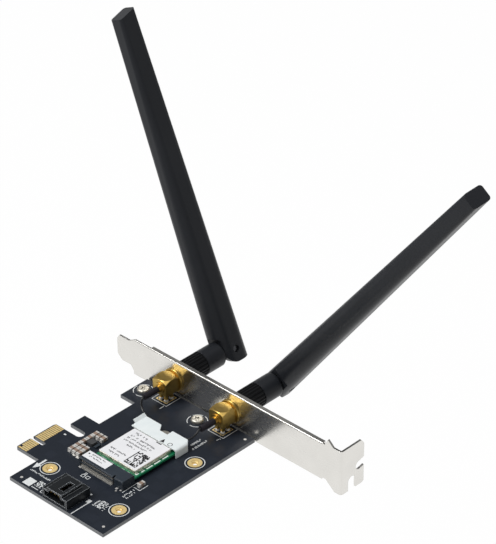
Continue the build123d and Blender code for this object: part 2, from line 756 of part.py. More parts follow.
# Antennas
for side, x in jacks.items():
    pivot = Location((x, pivot_y, jack_z))
    swivel = Plane(pivot * Location((0, 0, 0), (0, lean[side], 0)))
    blade_frame = Plane(pivot * Location((0, 0, 0), (0, lean[side], 0))
                        * Location((0, 0, 0), (tilt[side] - 90, 0, 0)))
    hinge = swivel.x_dir
    axis_plane = Plane(origin=(x, 0, jack_z), x_dir=hinge, z_dir=(0, 1, 0))

    # Ribbed nut on the jack's thread, with an inner lip that keeps the barrel
    with BuildPart() as nut:
        with BuildSketch(axis_plane.offset(nut_y0)):
            Circle(nut_r)
            with PolarLocations(nut_r - rib_sink, rib_count):
                Circle(rib_r)
            Circle(thread_r + nut_bore_gap, mode=Mode.SUBTRACT)
        extrude(amount=nut_y1 - nut_y0)
        with BuildSketch(axis_plane.offset(thread_end_y - nut_step)):
            Circle(flange_r + swivel_clear)
        extrude(amount=lip_bore_y - thread_end_y + nut_step, mode=Mode.SUBTRACT)
        with BuildSketch(axis_plane.offset(lip_bore_y)):
            Circle(lip_bore_r)
        extrude(amount=nut_y1 - lip_bore_y, mode=Mode.SUBTRACT)
    save(nut.part, f"{side}_antenna_nut")

    # Swivel barrel: flange and spigot inside the nut, round barrel, hinge tongue
    fork_plane = Plane(origin=(x, pivot_y, jack_z), x_dir=(0, 1, 0), z_dir=hinge)
    with BuildPart() as barrel:
        with BuildSketch(axis_plane.offset(barrel_y0)):
            Circle(barrel_r)
        extrude(amount=barrel_y1 - barrel_y0)
        fillet(barrel.edges().filter_by(GeomType.CIRCLE).sort_by(Axis.Y)[-1], barrel_edge)
        with BuildSketch(axis_plane.offset(flange_y0)):
            Circle(flange_r)
        extrude(amount=lip_bore_y - flange_gap - flange_y0)
        with BuildSketch(axis_plane.offset(lip_bore_y - flange_gap)):
            Circle(lip_bore_r - swivel_clear)
        extrude(amount=barrel_y0 - lip_bore_y + flange_gap)
        with BuildSketch(fork_plane):
            Circle(tongue_r)
            with Locations((-(pivot_out + tongue_root) / 2, 0)):
                Rectangle(pivot_out + tongue_root, 2 * tongue_r)
        extrude(amount=tongue_t / 2, both=True)
        with BuildSketch(fork_plane):
            Circle(pin_r + pin_clear)
        extrude(amount=tongue_t, both=True, mode=Mode.SUBTRACT)
    save(barrel.part, f"{side}_antenna_barrel")

    # Blade: oval foot tapering to a flat-sided tip with a slanted end, forked round the tongue
    cheek_plane = Plane(origin=(x, pivot_y, jack_z), x_dir=blade_frame.y_dir, z_dir=hinge)
    front_plane = Plane(origin=(x, pivot_y, jack_z), x_dir=hinge, z_dir=-blade_frame.y_dir)
    throat_r = pivot_out - hinge_gap
    slot_r = tongue_r + hinge_gap
    with BuildPart() as blade:
        with BuildSketch(blade_frame.offset(-throat_r)):
            RectangleRounded(blade_foot_w, blade_foot_d, blade_foot_round)
        with BuildSketch(blade_frame.offset(blade_len + blade_over)):
            RectangleRounded(blade_tip_w, blade_tip_d, blade_tip_round)
        loft()
        slant = Location((0, 0, 0), (blade_tip_slant_deg, 0, 0))
        tip_cut = Plane(blade_frame.offset(blade_len).location * slant)
        split(bisect_by=tip_cut, keep=Keep.BOTTOM)
        with BuildSketch(front_plane.offset(throat_r)):
            Circle(barrel_pocket_r)
        extrude(amount=cut_reach, mode=Mode.SUBTRACT)
        with BuildSketch(cheek_plane):
            with Locations((-cut_reach / 2, -cut_reach / 2)):
                Rectangle(cut_reach, cut_reach)
            Circle(throat_r, mode=Mode.SUBTRACT)
        extrude(amount=cut_reach, both=True, mode=Mode.SUBTRACT)
        with BuildSketch(cheek_plane):
            Circle(slot_r)
            with Locations((slot_r / 2 - cut_reach / 2, -cut_reach / 2)):
                Rectangle(cut_reach + slot_r, cut_reach)
            with Locations((-cut_reach / 2, slot_r / 2 - cut_reach / 2)):
                Rectangle(cut_reach, cut_reach + slot_r)
        extrude(amount=tongue_t / 2 + hinge_gap / 2, both=True, mode=Mode.SUBTRACT)
        with BuildSketch(cheek_plane):
            Circle(pin_r)
        extrude(amount=cut_reach, both=True, mode=Mode.SUBTRACT)
        for way in (-1, 1):
            with BuildSketch(cheek_plane.offset(way * pin_half)):
                Circle(pin_mouth_r)
            extrude(amount=way * cut_reach, mode=Mode.SUBTRACT)
    save(blade.part, f"{side}_antenna_blade")

    with BuildPart() as hinge_pin:
        with BuildSketch(cheek_plane.offset(-pin_half)):
            Circle(pin_r)
        extrude(amount=2 * pin_half)
    save(hinge_pin.part, f"{side}_hinge_pin")
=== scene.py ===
import bpy
import bmesh
import json
import numpy as np
from mathutils import Matrix


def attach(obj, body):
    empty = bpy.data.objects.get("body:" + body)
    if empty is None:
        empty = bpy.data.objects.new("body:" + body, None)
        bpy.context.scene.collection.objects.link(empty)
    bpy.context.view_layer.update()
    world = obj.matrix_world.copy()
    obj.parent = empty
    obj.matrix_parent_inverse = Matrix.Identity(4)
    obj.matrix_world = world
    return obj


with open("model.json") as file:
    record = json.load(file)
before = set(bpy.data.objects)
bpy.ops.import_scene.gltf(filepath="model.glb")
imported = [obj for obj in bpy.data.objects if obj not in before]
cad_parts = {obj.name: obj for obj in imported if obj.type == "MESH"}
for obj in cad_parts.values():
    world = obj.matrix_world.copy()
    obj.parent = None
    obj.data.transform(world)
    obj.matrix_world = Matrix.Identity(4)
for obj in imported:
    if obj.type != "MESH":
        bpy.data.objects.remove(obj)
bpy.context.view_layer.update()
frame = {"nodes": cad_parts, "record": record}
nodes = frame["nodes"]
mm = 0.001
boardThick = 1.57  # mm, from the component face at zero downward
noiseSpan = (0.3, 0.7)  # the part of its range where a noise spends most of its values
print("frame loaded:", len(nodes), "nodes")


def linear(hexColour):  # sRGB hex to linear RGBA
    c = np.array([int(hexColour[i:i + 2], 16) for i in (1, 3, 5)]) / 255
    return (*np.where(c <= 0.04045, c / 12.92, ((c + 0.055) / 1.055) ** 2.4).tolist(), 1.0)


def addNode(tree, kind, values=None, **settings):  # one node with its settings, values and links
    node = tree.nodes.new(kind)
    for key, value in settings.items():
        setattr(node, key, value)
    for key, value in (values or {}).items():
        if isinstance(value, bpy.types.NodeSocket):
            tree.links.new(value, node.inputs[key])
        else:
            node.inputs[key].default_value = value
    return node


def newFinish(name):
    mat = bpy.data.materials.new(name)
    mat.use_nodes = True
    mat.node_tree.nodes.clear()
    return mat, mat.node_tree


def closeFinish(tree, shader):
    addNode(tree, "ShaderNodeOutputMaterial", {"Surface": shader})


# every finish reads Object coordinates, so a pattern of s mm has scale 1 / (s * mm)
def perMm(size):
    return 1 / (size * mm)


def solderMaskFinish():
    # black solder mask over glass-fibre laminate, screen printed: satin, a little blue, faint
    # tone steps where copper lies under it, and a paler cut edge except on the bevelled contact edge
    look = {"mask": "#252a33", "maskDeep": "#1e232b", "cutEdge": "#77797b", "bevel": 0.95, "skin": 0.03,
            "rough": 0.36, "shine": 0.2, "pour": 6.0, "pourSteps": (0.25, 0.4), "pourShare": 0.5,
            "grain": 0.25, "relief": 0.08, "depth": 0.02}
    mat, tree = newFinish("blackSolderMask")
    place = addNode(tree, "ShaderNodeTexCoord").outputs["Object"]
    pour = addNode(tree, "ShaderNodeTexVoronoi", {"Vector": place, "Scale": perMm(look["pour"])},
                   distance="CHEBYCHEV", feature="F1")
    tone = addNode(tree, "ShaderNodeMapRange", {"Value": pour.outputs["Distance"], "To Min": 0.0,
                                                "From Min": look["pourSteps"][0], "From Max": look["pourSteps"][1],
                                                "To Max": look["pourShare"]})
    mask = addNode(tree, "ShaderNodeMix", {0: tone.outputs[0], 6: linear(look["mask"]),
                                           7: linear(look["maskDeep"])}, data_type="RGBA")
    split = addNode(tree, "ShaderNodeSeparateXYZ", {0: place})
    below = addNode(tree, "ShaderNodeMath", {0: split.outputs["Z"], 1: -look["skin"] * mm}, operation="LESS_THAN")
    above = addNode(tree, "ShaderNodeMath", {0: split.outputs["Z"], 1: (look["skin"] - boardThick) * mm},
                    operation="GREATER_THAN")
    inland = addNode(tree, "ShaderNodeMath", {0: split.outputs["X"], 1: look["bevel"] * mm},
                     operation="GREATER_THAN")
    edge = addNode(tree, "ShaderNodeMath", {0: below.outputs[0], 1: above.outputs[0]}, operation="MULTIPLY")
    edge = addNode(tree, "ShaderNodeMath", {0: edge.outputs[0], 1: inland.outputs[0]}, operation="MULTIPLY")
    colour = addNode(tree, "ShaderNodeMix", {0: edge.outputs[0], 6: mask.outputs[2], 7: linear(look["cutEdge"])},
                     data_type="RGBA")
    grain = addNode(tree, "ShaderNodeTexNoise", {"Vector": place, "Scale": perMm(look["grain"]), "Detail": 2.0})
    bump = addNode(tree, "ShaderNodeBump", {"Height": grain.outputs[0], "Strength": look["relief"],
                                            "Distance": look["depth"] * mm})
    shader = addNode(tree, "ShaderNodeBsdfPrincipled", {"Base Color": colour.outputs[2], "IOR": 1.5,
                                                        "Roughness": look["rough"],
                                                        "Specular IOR Level": look["shine"],
                                                        "Normal": bump.outputs[0]})
    closeFinish(tree, shader.outputs[0])
    return mat


markDepth, grainDepth = 0.02, 0.05  # mm, of marks in metal and of grain in plastic
grainRough = 0.05  # how far the grain moves the roughness either way
paintedEdgeSpan = (0.80, 0.97)  # agreement of rounded and flat normals, from a full painted edge highlight to none


def metalFinish(name, look):
    # plated metal: a noise stretched along the rolling or turning marks moves the roughness and the
    # surface, and rounded edges catch the light
    mat, tree = newFinish(name)
    place = addNode(tree, "ShaderNodeTexCoord").outputs["Object"]
    marks = addNode(tree, "ShaderNodeMapping", {"Vector": place, "Scale": [perMm(s) for s in look["marks"]]})
    lines = addNode(tree, "ShaderNodeTexNoise", {"Vector": marks.outputs[0], "Scale": 1.0, "Detail": 3.0})
    cloud = addNode(tree, "ShaderNodeTexNoise", {"Vector": place, "Scale": perMm(look["cloud"]), "Detail": 2.0})
    colour = addNode(tree, "ShaderNodeMix", {0: cloud.outputs[0], 6: linear(look["low"]),
                                             7: linear(look["high"])}, data_type="RGBA")
    rough = addNode(tree, "ShaderNodeMapRange", {"Value": lines.outputs[0], "From Min": noiseSpan[0],
                                                 "From Max": noiseSpan[1], "To Min": look["rough"][0],
                                                 "To Max": look["rough"][1]})
    rounded = addNode(tree, "ShaderNodeBevel", {"Radius": look["edge"] * mm}, samples=4)
    bump = addNode(tree, "ShaderNodeBump", {"Height": lines.outputs[0], "Strength": look["relief"],
                                            "Distance": markDepth * mm, "Normal": rounded.outputs[0]})
    shader = addNode(tree, "ShaderNodeBsdfPrincipled", {"Base Color": colour.outputs[2],
                                                        "Metallic": look.get("metallic", 1.0),
                                                        "Roughness": rough.outputs[0], "Normal": bump.outputs[0]})
    closeFinish(tree, shader.outputs[0])
    return mat


def mouldedFinish(name, look):
    # moulded or coated plastic: fine spark-eroded grain in the surface, a slow change of tone and
    # softened edges
    mat, tree = newFinish(name)
    place = addNode(tree, "ShaderNodeTexCoord").outputs["Object"]
    grain = addNode(tree, "ShaderNodeTexNoise", {"Vector": place, "Scale": perMm(look["grain"]), "Detail": 3.0})
    cloud = addNode(tree, "ShaderNodeTexNoise", {"Vector": place, "Scale": perMm(look["cloud"]), "Detail": 1.0})
    colour = addNode(tree, "ShaderNodeMix", {0: cloud.outputs[0], 6: linear(look["low"]),
                                             7: linear(look["high"])}, data_type="RGBA")
    rough = addNode(tree, "ShaderNodeMapRange", {"Value": grain.outputs[0], "From Min": noiseSpan[0],
                                                 "From Max": noiseSpan[1], "To Min": look["rough"] - grainRough,
                                                 "To Max": look["rough"] + grainRough})
    rounded = addNode(tree, "ShaderNodeBevel", {"Radius": look["edge"] * mm}, samples=4)
    if "paintedEdgeHighlight" in look:  # painted highlight along the edges: paler where the rounded normal leaves the face's own
        flat = addNode(tree, "ShaderNodeNewGeometry").outputs["True Normal"]
        agree = addNode(tree, "ShaderNodeVectorMath", {0: rounded.outputs[0], 1: flat}, operation="DOT_PRODUCT")
        paintedEdgeHighlight = addNode(tree, "ShaderNodeMapRange", {"Value": agree.outputs["Value"], "From Min": paintedEdgeSpan[0],
                                                   "From Max": paintedEdgeSpan[1], "To Min": 1.0, "To Max": 0.0})
        colour = addNode(tree, "ShaderNodeMix", {0: paintedEdgeHighlight.outputs[0], 6: colour.outputs[2], 7: linear(look["paintedEdgeHighlight"])},
                         data_type="RGBA")
    bump = addNode(tree, "ShaderNodeBump", {"Height": grain.outputs[0], "Strength": look["relief"],
                                            "Distance": grainDepth * mm, "Normal": rounded.outputs[0]})
    shader = addNode(tree, "ShaderNodeBsdfPrincipled", {"Base Color": colour.outputs[2], "IOR": 1.5,
                                                        "Roughness": rough.outputs[0],
                                                        "Specular IOR Level": look["shine"],
                                                        "Normal": bump.outputs[0]})
    closeFinish(tree, shader.outputs[0])
    return mat


# one finish for each slot, and then for the nodes that differ from their slot
finishes = {
    # dark satin board with a pale cut edge
    "board_black": solderMaskFinish(),
    # warm yellow metal, bright on its rounded edges
    "gold": metalFinish("goldPlatedBrass", {
        "low": "#b8964a", "high": "#d8ba70", "rough": (0.30, 0.38), "relief": 0.01, "marks": (1.5, 1.5, 1.5),
        "cloud": 3.0, "edge": 0.14}),
    # pale sheet with blurred mirror images drawn out along the rolling
    "bracket_steel": metalFinish("nickelPlatedSheet", {
        "low": "#dcdad5", "high": "#e8e6e1", "rough": (0.22, 0.28), "relief": 0.015,
        "marks": (6.0, 0.3, 0.3), "cloud": 9.0, "edge": 0.15}),
    # duller and warmer than the sheet
    "screw_steel": metalFinish("nickelPlatedScrew", {
        "low": "#bdb9ae", "high": "#d8d4ca", "rough": (0.38, 0.48), "relief": 0.02, "marks": (0.8, 0.8, 0.8),
        "cloud": 2.0, "edge": 0.15}),
    # clear deep green with a soft gloss
    "module_green": mouldedFinish("greenSolderMask", {
        "low": "#0d6440", "high": "#1a8258", "rough": 0.35, "grain": 0.3, "cloud": 3.0, "relief": 0.1,
        "shine": 0.5, "edge": 0.05}),
    # warm matt silver
    "shield_metal": metalFinish("tinnedShield", {
        "low": "#d8d0c2", "high": "#eae3d7", "rough": (0.45, 0.55), "relief": 0.03, "marks": (0.5, 0.5, 0.5),
        "cloud": 3.0, "edge": 0.15}),
    # flat cool white paper
    "label_white": mouldedFinish("printedLabel", {
        "low": "#e0e1e4", "high": "#ebebed", "rough": 0.55, "grain": 0.2, "cloud": 6.0, "relief": 0.04,
        "shine": 0.4, "edge": 0.02}),
    # milky white with soft edges
    "white_cover": mouldedFinish("milkySilicone", {
        "low": "#dbe3e4", "high": "#ebf0f0", "rough": 0.45, "grain": 0.4, "cloud": 4.0, "relief": 0.08,
        "shine": 0.5, "edge": 0.3}),
    # blue-black with a painted highlight along its edges
    "black_moulding": mouldedFinish("blackNylon", {
        "low": "#232a32", "high": "#303943", "rough": 0.42, "grain": 0.2, "cloud": 5.0, "relief": 0.1,
        "shine": 0.35, "edge": 0.2, "paintedEdgeHighlight": "#5f666c"}),
    # pale silver, near white in the light
    "tinned_metal": metalFinish("tinnedContacts", {
        "low": "#d2d0cb", "high": "#eeece8", "rough": (0.5, 0.6), "metallic": 0.6, "relief": 0.02,
        "marks": (0.6, 0.6, 0.6), "cloud": 1.0, "edge": 0.05}),
    # brown bodies of uneven tone
    "chip_ceramic": mouldedFinish("firedCeramic", {
        "low": "#7a6658", "high": "#a08a7c", "rough": 0.5, "grain": 0.2, "cloud": 1.5, "relief": 0.1,
        "shine": 0.4, "edge": 0.1}),
    # dull dark grey
    "coil_ferrite": mouldedFinish("greyFerrite", {
        "low": "#3c3d3f", "high": "#4e4e4f", "rough": 0.55, "grain": 0.2, "cloud": 2.0, "relief": 0.2,
        "shine": 0.3, "edge": 0.1}),
    # glossy black with a thin light line along it
    "lead_black": mouldedFinish("leadJacket", {
        "low": "#141517", "high": "#1d1e20", "rough": 0.3, "grain": 0.3, "cloud": 3.0, "relief": 0.05,
        "shine": 0.5, "edge": 0.05}),
    # matt, faintly purple black
    "sleeve_black": mouldedFinish("shrinkSleeve", {
        "low": "#1a171d", "high": "#242028", "rough": 0.6, "grain": 0.25, "cloud": 2.0, "relief": 0.2,
        "shine": 0.3, "edge": 0.1}),
    # satin black with a fine grain
    "antenna_black": mouldedFinish("grainedAbs", {
        "low": "#212327", "high": "#26282c", "rough": 0.34, "grain": 0.35, "cloud": 20.0, "relief": 0.06,
        "shine": 0.22, "edge": 0.25}),
    # dark metal with a sharp glint
    "pin_black": metalFinish("blackenedSteelPin", {
        "low": "#3a3b3e", "high": "#5c5d60", "rough": (0.2, 0.3), "relief": 0.1, "marks": (0.5, 0.5, 0.5),
        "cloud": 1.0, "edge": 0.2}),
}
# pale flat yellow of gold over copper
fingerGold = metalFinish("hardGoldFlash", {
    "low": "#efd089", "high": "#fae6ae", "rough": (0.55, 0.62), "metallic": 0.75, "relief": 0.01,
    "marks": (4.0, 2.0, 2.0), "cloud": 2.5, "edge": 0.04})
# greyer tin than the other contacts
tailTin = metalFinish("dullTinTails", {
    "low": "#b2b0aa", "high": "#d6d4ce", "rough": (0.5, 0.6), "metallic": 0.5, "relief": 0.01,
    "marks": (0.6, 0.6, 0.6), "cloud": 1.0, "edge": 0.03})
# deep black with painted highlight lines along its edges
headerNylon = mouldedFinish("glossyBlackNylon", {
    "low": "#101316", "high": "#181c20", "rough": 0.36, "grain": 0.2, "cloud": 5.0, "relief": 0.05,
    "shine": 0.4, "edge": 0.35, "paintedEdgeHighlight": "#c3c9ce"})
# a darker copy of the blades' plastic: painted shade of the grooves between the ribs, laid over the whole nut
shadedNutAbs = mouldedFinish("paintedShadeAbs", {
    "low": "#0f1012", "high": "#151618", "rough": 0.4, "grain": 0.35, "cloud": 20.0, "relief": 0.06,
    "shine": 0.15, "edge": 0.15})
ownFinishes = {"contact_fingers": fingerGold, "hole_eyelets": fingerGold, "socket_tails": tailTin,
               "side_header": headerNylon, "left_antenna_nut": shadedNutAbs, "right_antenna_nut": shadedNutAbs}
for part in frame["record"]["subparts"]:
    node = nodes[part["node"]]
    node.data.materials.clear()
    node.data.materials.append(ownFinishes.get(part["node"], finishes[part["material_slot"]]))
print("finishes on nodes:", len(finishes))

# print and solder
# slightly uneven white
whiteInk = mouldedFinish("whiteEpoxyInk", {
    "low": "#c9cdcd", "high": "#e6e8e8", "rough": 0.5, "grain": 0.15, "cloud": 0.8, "relief": 0.1,
    "shine": 0.4, "edge": 0.01})
# white with a breath of green
mintInk = mouldedFinish("paleMintInk", {
    "low": "#d5e6dc", "high": "#f2f8f4", "rough": 0.5, "grain": 0.15, "cloud": 0.6, "relief": 0.1,
    "shine": 0.4, "edge": 0.01})
# soft black of thermal print
blackInk = mouldedFinish("ribbonPrintInk", {
    "low": "#18181b", "high": "#2b2b2f", "rough": 0.5, "grain": 0.1, "cloud": 0.7, "relief": 0.05,
    "shine": 0.4, "edge": 0.01})
# bright drops, paler than the contacts
brightSolder = metalFinish("tinSolder", {
    "low": "#d2d0cb", "high": "#efede9", "rough": (0.4, 0.5), "metallic": 0.6, "relief": 0.02,
    "marks": (0.6, 0.6, 0.6), "cloud": 0.8, "edge": 0.05})


def tiles(boxes, low, high):
    # flat tiles: each row x0, y0, x1, y1 gives four corners, carried from the low level to the high level
    b = np.asarray(boxes, float)
    ring = b[:, [0, 1, 2, 1, 2, 3, 0, 3]].reshape(-1, 4, 2)
    points = np.concatenate([np.concatenate([ring, np.full_like(ring[..., :1], z)], 2) for z in (low, high)], 1)
    sides = np.array([[3, 2, 1, 0], [4, 5, 6, 7], [0, 1, 5, 4], [1, 2, 6, 5], [2, 3, 7, 6], [3, 0, 4, 7]])
    faces = sides[None] + 8 * np.arange(len(b))[:, None, None]
    return points.reshape(-1, 3), faces.reshape(-1, 4)


def ribbon(path, width, low, high, closed=False):
    # a rectangular section carried along a flat path: a point p with mitred side vector s gives the corners
    # p - s and p + s at the high level and the same two at the low level
    p = np.asarray(path, float)
    ahead = np.roll(p, -1, 0) - p
    behind = np.roll(ahead, 1, 0)
    if not closed:
        ahead[-1] = behind[-1]
        behind[0] = ahead[0]
    ahead = ahead / np.linalg.norm(ahead, axis=1, keepdims=True)
    behind = behind / np.linalg.norm(behind, axis=1, keepdims=True)
    along = (ahead + behind) / np.linalg.norm(ahead + behind, axis=1, keepdims=True)
    reach = np.broadcast_to(width, len(p)) / 2 / np.sum(along * ahead, 1)
    side = np.stack([-along[:, 1], along[:, 0]], 1) * reach[:, None]
    ring = np.stack([p - side, p + side, p + side, p - side], 1)
    level = np.broadcast_to(np.array([high, high, low, low])[None, :, None], (len(p), 4, 1))
    points = np.concatenate([ring, level], 2)
    i, j = np.meshgrid(np.arange(len(p) if closed else len(p) - 1), np.arange(4), indexing="ij")
    i2, j2 = (i + 1) % len(p), (j + 1) % 4
    faces = np.stack([4 * i + j, 4 * i2 + j, 4 * i2 + j2, 4 * i + j2], -1).reshape(-1, 4)
    if not closed:
        last = 4 * (len(p) - 1)
        faces = np.concatenate([faces, [[0, 1, 2, 3], [last + 3, last + 2, last + 1, last]]])
    return points.reshape(-1, 3), faces


def arc(centre, radius, start=0.0, stop=360.0, steps=48):
    # points of a circle from one angle to another; a whole circle leaves its last point out
    turn = np.radians(np.linspace(start, stop, steps, endpoint=stop - start < 360))
    return np.stack([centre[0] + radius * np.cos(turn), centre[1] + radius * np.sin(turn)], 1)


def turned(profile, centre, steps=20):
    # a profile of radius and height turned about an upright axis through the centre
    radius, height = np.asarray(profile, float).T
    turn = np.linspace(0, 2 * np.pi, steps, endpoint=False)
    points = np.stack([centre[0] + radius[:, None] * np.cos(turn), centre[1] + radius[:, None] * np.sin(turn),
                       centre[2] + np.broadcast_to(height[:, None], (len(radius), steps))], -1)
    i, j = np.meshgrid(np.arange(len(radius) - 1), np.arange(steps), indexing="ij")
    j2 = (j + 1) % steps
    faces = np.stack([i * steps + j, i * steps + j2, (i + 1) * steps + j2, (i + 1) * steps + j], -1)
    return points.reshape(-1, 3), faces.reshape(-1, 4)


def disc(size, low, high):  # profile of a flat disc
    return [(0, low), (size, low), (size, high), (0, high)]


sameSpot = 1e-7  # metres


def makePiece(name, shells, finish, smooth=False):
    # shells of points in mm and quads become one mesh; points that meet at a pole are merged
    first = np.cumsum([0] + [len(points) for points, faces in shells])
    points = np.concatenate([s[0] for s in shells]) * mm
    faces = np.concatenate([s[1] + n for s, n in zip(shells, first)])
    mesh = bpy.data.meshes.new(name)
    mesh.from_pydata(points.tolist(), [], faces.tolist())
    shape = bmesh.new()
    shape.from_mesh(mesh)
    bmesh.ops.remove_doubles(shape, verts=shape.verts, dist=sameSpot)
    shape.to_mesh(mesh)
    shape.free()
    mesh.polygons.foreach_set("use_smooth", np.full(len(mesh.polygons), smooth))
    mesh.materials.append(finish)
    piece = bpy.data.objects.new(name, mesh)
    bpy.context.scene.collection.objects.link(piece)
    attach(piece, "card")
    return piece


strokes = {"most": 120, "gap": 0.26, "wide": (0.2, 0.46), "tall": (0.45, 1.0), "hung": 0.5, "lost": 0.1}
cellShare = 0.96  # of its grid square that a printed cell fills


def wordRow(x0, x1, y, height, draw):
    # unreadable print: uneven strokes side by side from x0 to x1, each on the base line or hung from the top
    # line, a few left out
    gap, most = strokes["gap"], strokes["most"]
    widths = draw.uniform(*strokes["wide"], most)
    tall = height * draw.uniform(*strokes["tall"], most)
    base = y - height / 2 + np.where(draw.random(most) < strokes["hung"], 0, height - tall)
    ends = x0 + np.cumsum(widths + gap)
    keep = (ends < x1 + gap) & (draw.random(most) > strokes["lost"])
    return np.stack([ends - gap - widths, base, ends - gap, base + tall], 1)[keep]


def codeGrid(x0, y0, x1, y1, cells, fill, draw):
    # scattered square cells: each cell of the grid is kept where its random draw is under the fill
    i, j = np.nonzero(draw.random((cells, cells)) < fill)
    w, d = (x1 - x0) / cells, (y1 - y0) / cells
    return np.stack([x0 + i * w, y0 + j * d, x0 + (i + cellShare) * w, y0 + (j + cellShare) * d], 1)


draw = np.random.default_rng(7)

# white print on the circuit board
silk = {
    "level": (-0.005, 0.02), "line": 0.25,
    "eyelets": [(20.1, -8.95), (57.75, -8.95), (57.75, 31.2)], "eyeletRing": (3.82, 0.33),
    "screws": [(9.4, 51.3), (39.3, 51.3)], "screwRing": (4.05, 0.3),
    "screwArcs": [(0, 88), (100, 160), (172, 243), (268, 335)],
    "jacks": [(15.6, 23.6), (46.5, 54.7)], "jackY": (49.8, 57.6),
    "arrowHead": [(14.9, -13.2), (15.2, -9.9)], "arrowWidths": (0.06, 2.9),
    "arrowShaft": [(15.2, -9.9), (15.1, -6.2)], "shaftWidth": 0.9,
    "wordsAlong": [(15.1, 26.3, -14.2, 0.9)],
    "wordsAcross": [(-2.9, 3.7, 53.0, 1.0), (-2.2, 3.0, 54.5, 0.9), (-13.6, -9.6, 48.4, 0.9),
                    (-13.6, -8.8, 53.2, 0.9), (38.2, 44.0, 48.9, 1.1), (36.5, 44.9, 51.1, 1.1),
                    (47.2, 49.0, 53.9, 0.8)],
    "solid": [(18.7, -22.0, 22.5, -17.75), (23.2, -21.5, 26.8, -21.15), (44.9, -14.0, 46.6, -12.0),
              (22.7, 46.9, 23.0, 49.3), (7.7, 9.6, 8.8, 10.3)],
    "codes": [(23.4, -20.2, 26.5, -16.6, 8), (49.3, -13.4, 52.4, -8.9, 9)], "codeFill": 0.5,
    "frames": [(31.9, -4.2, 33.3, -2.8), (34.1, -3.9, 35.5, -2.4), (32.2, -2.3, 33.0, -1.5)],
    "lines": [[(51.0, -0.8), (50.8, 7.9)], [(27.9, -19.7), (28.1, -21.4), (29.2, -21.6)],
              [(51.7, 4.6), (54.9, 4.6), (54.9, 9.0)]],
    "wideLine": [(46.3, -22.8), (46.3, -14.0)], "wide": 0.42,
    "dots": [(43.3, -9.5)], "dotSize": 0.5,
}
shells = [ribbon(arc(c, silk["eyeletRing"][0]), silk["eyeletRing"][1], *silk["level"], closed=True)
          for c in silk["eyelets"]]
shells += [ribbon(arc(c, silk["screwRing"][0], *a, steps=14), silk["screwRing"][1], *silk["level"])
           for c in silk["screws"] for a in silk["screwArcs"]]
y0, y1 = silk["jackY"]
shells += [ribbon([(x0, y1), (x0, y0), (x1, y0), (x1, y1)], silk["line"], *silk["level"])
           for x0, x1 in silk["jacks"]]
shells += [ribbon(silk["arrowHead"], np.array(silk["arrowWidths"]), *silk["level"]),
           ribbon(silk["arrowShaft"], silk["shaftWidth"], *silk["level"])]
shells += [tiles(wordRow(*row, draw), *silk["level"]) for row in silk["wordsAlong"]]
shells += [tiles(wordRow(*row, draw)[:, [1, 0, 3, 2]], *silk["level"]) for row in silk["wordsAcross"]]
shells += [tiles(silk["solid"], *silk["level"])]
shells += [ribbon([(x0, y0), (x1, y0), (x1, y1), (x0, y1)], silk["line"], *silk["level"], closed=True)
           for x0, y0, x1, y1 in silk["frames"]]
shells += [tiles(codeGrid(*code, silk["codeFill"], draw), *silk["level"]) for code in silk["codes"]]
shells += [ribbon(line, silk["line"], *silk["level"]) for line in silk["lines"]]
shells += [ribbon(silk["wideLine"], silk["wide"], *silk["level"])]
shells += [turned(disc(silk["dotSize"], *silk["level"]), (*c, 0)) for c in silk["dots"]]
makePiece("boardSilk", shells, whiteInk)

# bare gold copper: frames round the jack feet
pads = {"level": (-0.005, 0.03), "jackFeet": [(19.6, 53.85), (50.5, 53.85)], "frameHalf": 2.75, "frameLine": 0.4}
half = pads["frameHalf"]
corners = np.array([(-half, -half), (half, -half), (half, half), (-half, half)])
shells = [ribbon(corners + c, pads["frameLine"], *pads["level"], closed=True) for c in pads["jackFeet"]]
makePiece("boardPads", shells, fingerGold)

# plated lining of the spare holes, narrowest at mid depth
barrel = {"holes": silk["eyelets"], "steps": 32,
          "section": [(0.95, -1.2), (1.5, -1.55), (1.5, -0.02), (0.95, -0.4), (0.95, -1.2)]}
makePiece("holeBarrels", [turned(barrel["section"], (*c, 0), barrel["steps"]) for c in barrel["holes"]], fingerGold,
          True)

# solder: a fillet up each jack foot and a dome under it, and a fillet at each end of the small chips
solder = {"reach": 1.4, "fillet": [(0, -0.01), (1.05, -0.01), (0.93, 0.2), (0.87, 0.45), (0.84, 0.8), (0, 0.8)],
          "dome": [(0, -0.55), (0.4, -0.5), (0.75, -0.33), (0.95, 0.0), (0, 0.0)],
          "chips": [(x, y) for x in (17.6, 19.8, 22.0) for y in (4.9, 8.0, 17.4)]
          + [(17.6, 11.1), (17.6, 14.3), (53.0, 7.3)], "chipHalf": (0.85, 1.45), "toe": 0.3, "climb": 0.75,
          "sink": 0.02, "inset": 0.06, "steps": 6}
feet = [(x + i * solder["reach"], y + j * solder["reach"])
        for x, y in pads["jackFeet"] for i in (-1, 1) for j in (-1, 1)]
makePiece("jackSolder", [turned(solder["fillet"], (*f, 0)) for f in feet], brightSolder, True)

# tinned pads round the socket and the chips, and round sighting dots near the board's corners
anchors = {"level": (-0.005, 0.12),
           "pads": [(47.2, -0.9, 48.2, 0.3), (48.1, -1.9, 48.8, -1.3), (49.2, -0.6, 50.0, 0.3),
                    (27.2, -0.9, 28.4, 0.0), (22.0, 2.4, 23.6, 3.3), (20.0, 2.6, 21.2, 3.5)],
           "sights": [(16.3, -20.0), (60.7, -19.75), (61.2, 55.2)], "sightSize": 0.6, "sightLevel": (-0.005, 0.03)}
sights = [turned(disc(anchors["sightSize"], *anchors["sightLevel"]), (*c, 0)) for c in anchors["sights"]]
makePiece("anchorPads", [tiles(anchors["pads"], *anchors["level"])] + sights, brightSolder)
makePiece("undersideSolder", [turned(solder["dome"], (*f, -boardThick)) for f in feet + pads["jackFeet"]],
          brightSolder, True)


